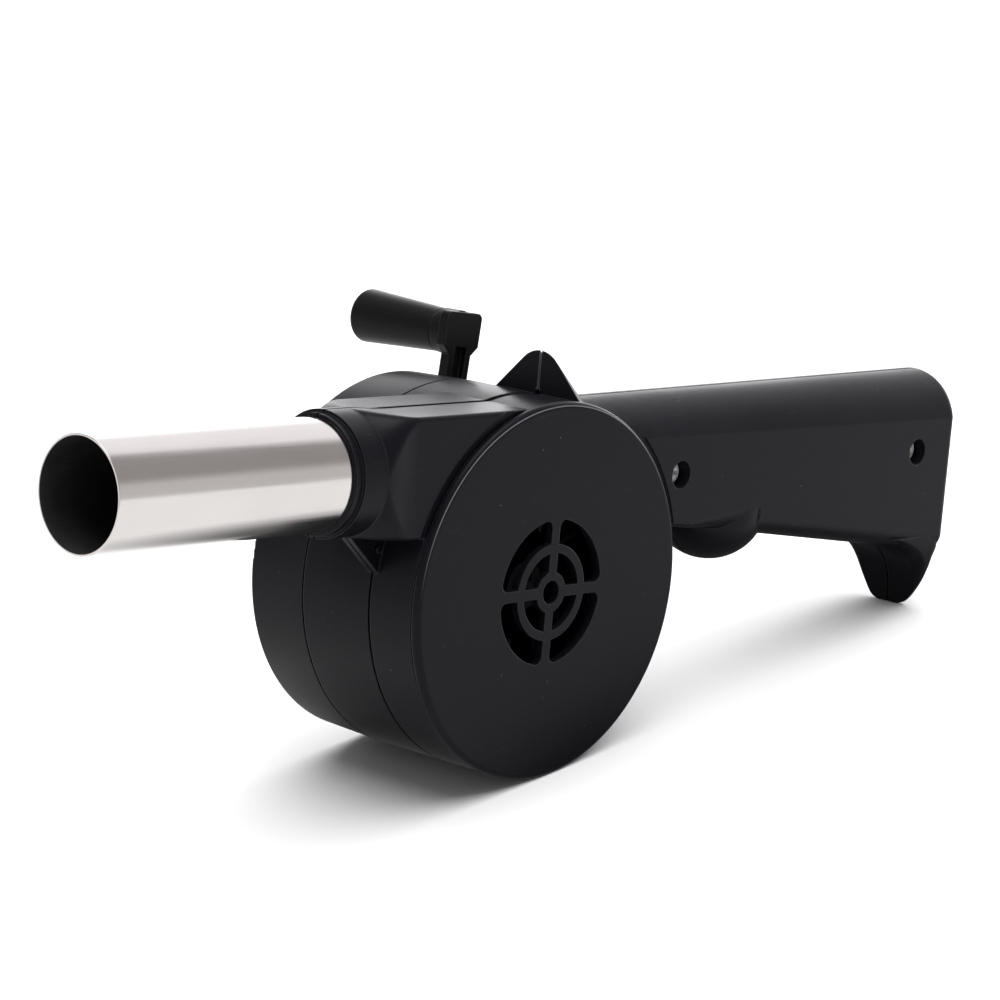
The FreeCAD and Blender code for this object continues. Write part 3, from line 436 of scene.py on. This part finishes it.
# Bushes and the fan's pinion
# Sintered bronze, pressed in place, dull and slightly speckled with the pores that hold its oil.
bronze = metal("sintered_bronze", (0.50, 0.34, 0.17), 0.42, (40.0, 40.0, 40.0), 0.01)
coat(bronze, "fan_bush", "crank_bush", "crank_inner_bush", "fan_pinion")

# Small steel washers
# Punched from zinc-plated sheet, whose chromate coat is dull and half white. They lie loose beside the
# two-step gear and under the knob.
zinc = metal("zinc_plate", (0.74, 0.74, 0.72), 0.45, (9.0, 9.0, 9.0), 0.008)
zinc.node_tree.nodes["Principled BSDF"].inputs["Metallic"].default_value = 0.5
coat(zinc, "idler_washers", "knob_washer")


# Intake cover
# Flat moulded disc over the drum's open side, with a grille of two rings and four spokes over the fan's
# eye. Three pegs on its back snap into the right shell.

def add(primitive, name, **shape):
    """New mesh from a primitive, in the blower's own axes, in millimetres."""
    bpy.ops.object.select_all(action="DESELECT")
    getattr(bpy.ops.mesh, "primitive_" + primitive + "_add")(**shape)
    piece = bpy.context.object
    piece.name = name
    bpy.ops.object.transform_apply(location=True, rotation=True, scale=True)
    return piece


def along_y(name, radius, y, centre=(0.0, 0.0), vertices=64, end_radius=None):
    """Cylinder or cone between two places along Y: end_radius is the radius at the second."""
    middle = (centre[0], (y[0] + y[1]) / 2, centre[1])
    lying = (-math.pi / 2, 0, 0)
    shape = {"vertices": vertices, "depth": y[1] - y[0], "location": middle, "rotation": lying}
    if end_radius is None:
        return add("cylinder", name, radius=radius, **shape)
    return add("cone", name, radius1=radius, radius2=end_radius, **shape)


def block(name, x, y, z):
    """Box between the pairs of values x, y and z."""
    sides = [pair[1] - pair[0] for pair in (x, y, z)]
    centre = [(pair[0] + pair[1]) / 2 for pair in (x, y, z)]
    return add("cube", name, size=1, location=centre, scale=sides)


def work_on(piece):
    """Selects the piece alone and makes it the active one."""
    bpy.ops.object.select_all(action="DESELECT")
    piece.select_set(True)
    bpy.context.view_layer.objects.active = piece


def modify(piece, kind, **settings):
    """Modifier added to the piece and applied."""
    work_on(piece)
    bpy.ops.object.modifier_add(type=kind)
    change = piece.modifiers[-1]
    for key, value in settings.items():
        setattr(change, key, value)
    bpy.ops.object.modifier_apply(modifier=change.name)


def combine(piece, operation, tool):
    """Cuts the tool out of the piece, joins it on, or keeps what both share. The tool goes."""
    modify(piece, "BOOLEAN", operation=operation, solver="EXACT", object=tool)
    bpy.data.objects.remove(tool)


def soften(piece, size, segments, wanted):
    """Bevels the edges for which wanted(end, end) holds."""
    work_on(piece)
    bpy.ops.object.mode_set(mode="EDIT")
    bpy.ops.mesh.select_mode(type="EDGE")
    bpy.ops.mesh.select_all(action="DESELECT")
    bpy.ops.object.mode_set(mode="OBJECT")
    points = piece.data.vertices
    for edge in piece.data.edges:
        edge.select = wanted(*(points[k].co for k in edge.vertices))
    bpy.ops.object.mode_set(mode="EDIT")
    bpy.ops.mesh.bevel(offset=size, segments=segments, affect="EDGES")
    bpy.ops.object.mode_set(mode="OBJECT")


def copies(piece, turns):
    """The piece again at each of the turns, all joined into one."""
    name = piece.name
    parts = []
    for turn_matrix in turns:
        part = piece.copy()
        part.data = piece.data.copy()
        part.data.transform(turn_matrix)
        bpy.context.collection.objects.link(part)
        parts.append(part)
    bpy.data.objects.remove(piece)
    bpy.ops.object.select_all(action="DESELECT")
    for part in parts:
        part.select_set(True)
    bpy.context.view_layer.objects.active = parts[0]
    if len(parts) > 1:
        bpy.ops.object.join()
    parts[0].name = name
    return parts[0]


def finish_piece(piece, material, body, stands_for, edge=0.2, crisp=50):
    """Soft edges, flat faces that shade flat, its place in the scene and its finish; hides the node it stands for.
    """
    crisp_angle = math.radians(crisp)
    if edge:
        modify(piece, "BEVEL", width=edge, segments=2, limit_method="ANGLE", angle_limit=crisp_angle,
               use_clamp_overlap=False)
    work_on(piece)
    bpy.ops.object.mode_set(mode="EDIT")
    bpy.ops.mesh.select_all(action="SELECT")
    bpy.ops.mesh.remove_doubles(threshold=0.0005)
    bpy.ops.mesh.normals_make_consistent(inside=False)
    bpy.ops.object.mode_set(mode="OBJECT")
    bpy.ops.object.shade_smooth_by_angle(angle=crisp_angle)
    modify(piece, "WEIGHTED_NORMAL", keep_sharp=True, weight=100)
    piece.data.transform(blower @ Matrix.Scale(mm, 4))
    piece.data.materials.clear()
    piece.data.materials.append(material)
    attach(piece, body)
    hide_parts(stands_for)


def longer(span, by):
    """A span between two places, run past both its ends."""
    return (span[0] - by, span[1] + by)


# Cutters run past what they cut by a lap, and joined blocks run into each other by one. A hair is less
# than any real size.
lap = 1.0
hair = 0.01
cover_radius = 38.2
cover_thickness = 1.6
cover_edge = 1.3
grille_hole_radius = 2.4
grille_hub_radius = 4.1
inner_slot_radius = 8.0
ring_radius = 9.8
outer_slot_radius = 14.8
spoke_half = 1.1
slot_corner = 1.6
peg_circle = 24.0
peg_radius = 1.2
peg_end = 3.5
plate = along_y("intake_cover_plate", cover_radius, (0.0, cover_thickness), vertices=256)
soften(plate, cover_edge, 10, lambda one, other: max(one.y, other.y) < hair)
through = (-cover_thickness, 2 * cover_thickness)


def quarter_slot(inner, outer):
    """Opening between two rings and two spokes."""
    slot = along_y("slot", outer, through, vertices=192)
    combine(slot, "DIFFERENCE", along_y("slot_core", inner, longer(through, lap), vertices=128))
    beside_spoke = (spoke_half, outer + lap)
    combine(slot, "INTERSECT", block("slot_quarter", beside_spoke, longer(through, 2 * lap), beside_spoke))
    return slot


# The outer slots end in round corners: each corner is a block with a round bite, cut off the slot.
outer_slot = quarter_slot(ring_radius, outer_slot_radius)
bend_side = spoke_half + slot_corner
bend_reach = outer_slot_radius - slot_corner
bend_along = math.sqrt(bend_reach ** 2 - bend_side ** 2)
bend_end = bend_side * outer_slot_radius / bend_reach
sideways = (spoke_half - lap, bend_end)
outward = (bend_along, outer_slot_radius + lap)
for x, z, bend_centre in (
    (sideways, outward, (bend_side, bend_along)),
    (outward, sideways, (bend_along, bend_side)),
):
    corner = block("slot_corner", x, longer(through, lap), z)
    combine(corner, "DIFFERENCE", along_y(
        "slot_bend", slot_corner, longer(through, 2 * lap), bend_centre, vertices=64))
    combine(outer_slot, "DIFFERENCE", corner)
quarter_turns = [Matrix.Rotation(math.radians(90 * k), 4, "Y") for k in range(4)]
combine(plate, "DIFFERENCE", copies(outer_slot, quarter_turns))
combine(plate, "DIFFERENCE", copies(quarter_slot(grille_hub_radius, inner_slot_radius), quarter_turns))
combine(plate, "DIFFERENCE", along_y("grille_hole", grille_hole_radius, through))
for k in range(3):
    angle = math.radians(90 + 120 * k)
    peg_place = (peg_circle * math.cos(angle), peg_circle * math.sin(angle))
    peg = along_y("peg", peg_radius, (cover_thickness / 2, peg_end), peg_place, vertices=32)
    combine(plate, "UNION", peg)

# A thin light line is painted along the upper part of its rounded rim: a painted highlight, lightest on top.
highlight_inset = 0.72
highlight_half = 0.06
highlight_fade = 0.14
highlight_start = 8.0
highlight_full = 24.0
highlight_grey = (0.13, 0.13, 0.135)
cover_abs = plastic("black_abs_with_painted_rim_highlight", abs_colour, abs_roughness, abs_wear_and_highlight, abs_dust)
rim = cover_abs.node_tree
rim_shader = rim.nodes["Principled BSDF"]
off_axis = vector_maths(rim, "SUBTRACT", node(rim, "ShaderNodeTexCoord").outputs["Object"], fan_axis)
from_axis = vector_maths(rim, "LENGTH", vector_maths(rim, "MULTIPLY", off_axis, (1, 0, 1)))
highlight_radius = (cover_radius - highlight_inset) * mm
off_line = maths(rim, "ABSOLUTE", maths(rim, "SUBTRACT", from_axis, highlight_radius))
on_line = spread(rim, off_line, highlight_fade * mm, highlight_half * mm)
above_axis = node(rim, "ShaderNodeSeparateXYZ", {0: off_axis}).outputs["Z"]
on_top = spread(rim, above_axis, highlight_start * mm, highlight_full * mm)
# Painted highlight: a light grey line along the rim, only on its upper part.
painted_rim_highlight = maths(rim, "MULTIPLY", on_line, on_top)
face_colour = rim_shader.inputs["Base Color"].links[0].from_socket
rim.links.new(mix(rim, painted_rim_highlight, face_colour, highlight_grey), rim_shader.inputs["Base Color"])
finish_piece(plate, cover_abs, "casing", "intake_cover", edge=0)

# Nozzle tube
# Drawn stainless tube, cut square and pushed into the collar. It is polished along its length, its inside
# is painted near black as shade, and its mouth is deburred bright.
tube_radius = 11.0
tube_wall = 0.5
tube_mouth = -114.0
tube_seat = -44.4
tube_y = 13.25
tube_z = 25.0
tube = add("cylinder", "nozzle_tube_steel", vertices=192, radius=tube_radius, depth=tube_seat - tube_mouth,
           end_fill_type="NOTHING", location=((tube_mouth + tube_seat) / 2, tube_y, tube_z),
           rotation=(0, math.pi / 2, 0))
modify(tube, "SOLIDIFY", thickness=tube_wall, offset=-1, use_even_offset=True)

# All that lies deeper in the wall than the mouth's bright edge is painted near black as shade inside the
# bore, and hides the metal there.
dark_inside_start = 0.35
dark_inside_full = 0.45
dark_inside_dulling = 0.5
stainless = metal("drawn_stainless", (0.68, 0.65, 0.64), 0.15, (1.0, 30.0, 30.0), 0.004)
steel = stainless.node_tree
steel_shader = steel.nodes["Principled BSDF"]
from_bore = in_own_axes(steel, blower @ (Vector((0, tube_y, tube_z)) * mm))
radius_at = vector_maths(steel, "LENGTH", vector_maths(steel, "MULTIPLY", from_bore, (0, 1, 1)))
# Painted shade: near black and not metal inside the bore.
inside = spread(steel, radius_at, (tube_radius - dark_inside_start) * mm, (tube_radius - dark_inside_full) * mm)
dark_inside_patches = noise(steel, node(steel, "ShaderNodeTexCoord").outputs["Object"], per_metre=160.0, detail=5.0)
dark_inside_colour = ramp(steel, dark_inside_patches, ((0.3, 0.004), (0.7, 0.016)))
bright_colour = steel_shader.inputs["Base Color"].links[0].from_socket
steel.links.new(mix(steel, inside, bright_colour, dark_inside_colour), steel_shader.inputs["Base Color"])
bright_gloss = steel_shader.inputs["Roughness"].links[0].from_socket
dark_inside_gloss = maths(steel, "MULTIPLY_ADD", inside, dark_inside_dulling, bright_gloss)
steel.links.new(dark_inside_gloss, steel_shader.inputs["Roughness"])
steel.links.new(maths(steel, "SUBTRACT", 1.0, inside), steel_shader.inputs["Metallic"])
finish_piece(tube, stainless, "casing", "nozzle_tube", edge=0.12)


# Crank arm
# Flat arm of black nylon with a hollow along its inner side, a round hub on the shaft's flat, and a block
# with a barrel that takes the knob's screw. It is modelled upright and then leant about its shaft.

def runs_across(one, other):
    """True for an edge that runs along Y, through the arm."""
    return abs(one.y - other.y) > 1


crank_centre = own(joints["crank_turn"]["pos_m"])
knob_centre = own(joints["knob_spin"]["pos_m"])
lean = math.atan2(knob_centre.x - crank_centre.x, knob_centre.z - crank_centre.z)
arm_length = math.hypot(knob_centre.x - crank_centre.x, knob_centre.z - crank_centre.z)
arm_face = own(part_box("crank_arm")[0]).y
arm_half = 3.35
arm_back = arm_face + 2.5
arm_hub_radius = 7.0
arm_hub_back = arm_face + 3.2
head_half = 5.3
head_low = arm_length - 4.5
head_high = arm_length + 4.5
head_chamfer = 1.8
head_corner = 1.3
barrel_radius = 4.8
barrel_end = knob_centre.y - 0.1
channel_half = 1.75
channel_corner = 0.6
channel_floor = arm_face + 1.4
channel_z = (8.0, head_low + 1.6)
shaft_radius = 3.01
shaft_flat = 2.6
shaft_clear = 4.0
thread_radius = 1.51
arm = along_y("crank_arm_nylon", arm_hub_radius, (arm_face, arm_hub_back), vertices=128)
combine(arm, "UNION", block("stem", (-arm_half, arm_half), (arm_face, arm_back), (0, head_low + lap)))
head = block("arm_head", (-head_half, head_half), (arm_face, arm_back), (head_low, head_high))
soften(head, head_chamfer, 1, lambda one, other: runs_across(one, other) and one.z < arm_length)
soften(head, head_corner, 6, lambda one, other: runs_across(one, other) and one.z > arm_length)
combine(arm, "UNION", head)
combine(arm, "UNION", along_y(
    "barrel", barrel_radius, (arm_face + lap, barrel_end), (0, arm_length), vertices=96))
channel = block("channel", (-channel_half, channel_half), (arm_face - lap, channel_floor), channel_z)
soften(channel, channel_corner, 5, runs_across)
combine(arm, "DIFFERENCE", channel)
combine(arm, "DIFFERENCE", along_y(
    "thread", thread_radius, (arm_face + lap, barrel_end + lap), (0, arm_length)))
arm.data.transform(Matrix.Rotation(lean, 4, "Y"))
hub_through = (arm_face, arm_hub_back)
shaft_hole = along_y("shaft_hole", shaft_radius, longer(hub_through, lap), vertices=64)
combine(shaft_hole, "DIFFERENCE", block(
    "shaft_flat", (-shaft_clear, shaft_clear), longer(hub_through, 2 * lap), (shaft_flat, shaft_clear)))
combine(arm, "DIFFERENCE", shaft_hole)
arm.data.transform(Matrix.Translation((crank_centre.x, 0, crank_centre.z)))
black_nylon = plastic("black_nylon", (0.0062, 0.0059, 0.0064), 0.34, (0.12, 0.12, 0.12), 0.2)
finish_piece(arm, black_nylon, "crank", "crank_arm", edge=0.28, crisp=40)

# Knob
# Tapered grip of the same black nylon, thicker at its free end, where a recess hides the head of the
# shoulder screw on which it spins.
knob_root = 4.6
knob_end_radius = 5.8
knob_end = 76.7
knob_edge = 1.2
root_edge = 0.4
recess_radius = 3.4
recess_depth = 3.6
bore_radius = 2.05
knob_middle = (knob_centre.x, knob_centre.z)
knob = along_y("crank_knob_grip", knob_root, (knob_centre.y, knob_end), knob_middle, vertices=128,
               end_radius=knob_end_radius)
soften(knob, knob_edge, 8, lambda one, other: min(one.y, other.y) > knob_end - hair)
soften(knob, root_edge, 4, lambda one, other: max(one.y, other.y) < knob_centre.y + hair)
combine(knob, "DIFFERENCE", along_y(
    "recess", recess_radius, (knob_end - recess_depth, knob_end + lap), knob_middle, vertices=64))
combine(knob, "DIFFERENCE", along_y("bore", bore_radius, (knob_centre.y - lap, knob_end), knob_middle))
finish_piece(knob, black_nylon, "knob", "crank_knob", edge=0.2)


# Screws
# Zinc-plated pan heads with a cross recess: two in the grip's deep holes, three under the intake cover,
# four in the gear cover's back, one that holds the arm on its shaft, and the knob's shoulder screw.

def pan_screw(name, head_radius, head_height, shank, places, top, inward):
    """Like screws: shank lists (radius, length) from the head on, inward is the way they point along Y."""
    cross_half = 0.15 * head_radius
    cross_span = 0.68 * head_radius
    cross_depth = 0.6 * head_height
    first_turn = 8
    next_turn = 37
    part = along_y(name, head_radius, (0, head_height), vertices=64)
    soften(part, 0.5 * head_height, 6, lambda one, other: max(one.y, other.y) < hair)
    for radius, length in shank:
        work_on(part)
        end_face = max(part.data.polygons, key=lambda face: (round(face.center.y, 3), face.area)).index
        now = max(part.data.vertices[k].co.xz.length for k in part.data.polygons[end_face].vertices)
        bpy.ops.object.mode_set(mode="EDIT")
        bpy.ops.mesh.select_mode(type="FACE")
        bpy.ops.mesh.select_all(action="DESELECT")
        bpy.ops.object.mode_set(mode="OBJECT")
        part.data.polygons[end_face].select = True
        bpy.ops.object.mode_set(mode="EDIT")
        if radius < now:
            bpy.ops.mesh.inset(thickness=now - radius)
        bpy.ops.mesh.extrude_region_move(TRANSFORM_OT_translate={"value": (0, length, 0)})
        bpy.ops.object.mode_set(mode="OBJECT")
    for x, z in ((cross_span, cross_half), (cross_half, cross_span)):
        combine(part, "DIFFERENCE", block("cross", (-x, x), (-lap, cross_depth), (-z, z)))
    facing = Matrix.Identity(4) if inward > 0 else Matrix.Rotation(math.pi, 4, "Z")
    turns = []
    for k, (x, z) in enumerate(places):
        driven = Matrix.Rotation(math.radians(first_turn + next_turn * k), 4, "Y")
        turns.append(Matrix.Translation((x, top, z)) @ facing @ driven)
    return copies(part, turns)


def on_circle(radius, angles):
    """Places at a radius from the fan's shaft, at each of the angles in degrees."""
    return [(radius * math.cos(math.radians(a)), radius * math.sin(math.radians(a))) for a in angles]


grip_places = ((39.5, 21.0), (122.0, 21.0))
post_circle = 32.0
post_angle = 41.0
case_places = on_circle(post_circle, (post_angle, 180 + post_angle, -post_angle))
gear_cover_places = on_circle(
    post_circle, (post_angle, 180 - post_angle, 180 + post_angle, -post_angle))
crank_place = [(crank_centre.x, crank_centre.z)]
knob_place = [knob_middle]
front_of = {name: own(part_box(name)[0]).y for name in ("grip_screws", "case_screws")}
back_of = {name: own(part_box(name)[1]).y for name in ("gear_cover_screws", "crank_screw", "knob_screw")}

# Each row gives the node, the head's radius and height, the shank, the places, where the heads' tops lie
# along Y, which way the screws point, and the body that they move with.
for name, head_size, shank, places, top, inward, body in (
    ("grip_screws", (2.7, 1.9), ((1.5, 12.0),), grip_places, front_of["grip_screws"], 1, "casing"),
    ("case_screws", (2.1, 1.4), ((1.25, 17.5),), case_places, front_of["case_screws"], 1, "casing"),
    ("gear_cover_screws", (2.1, 1.4), ((1.25, 12.0),), gear_cover_places,
     back_of["gear_cover_screws"], -1, "casing"),
    ("crank_screw", (3.8, 1.9), ((1.5, 6.5),), crank_place, back_of["crank_screw"], -1, "crank"),
    ("knob_screw", (2.7, 1.9), ((2.0, 20.0), (1.5, 4.5)), knob_place, back_of["knob_screw"], -1, "crank"),
):
    group = pan_screw(name + "_zinc", *head_size, shank, places, top, inward)
    finish_piece(group, zinc, body, name, edge=0.08)
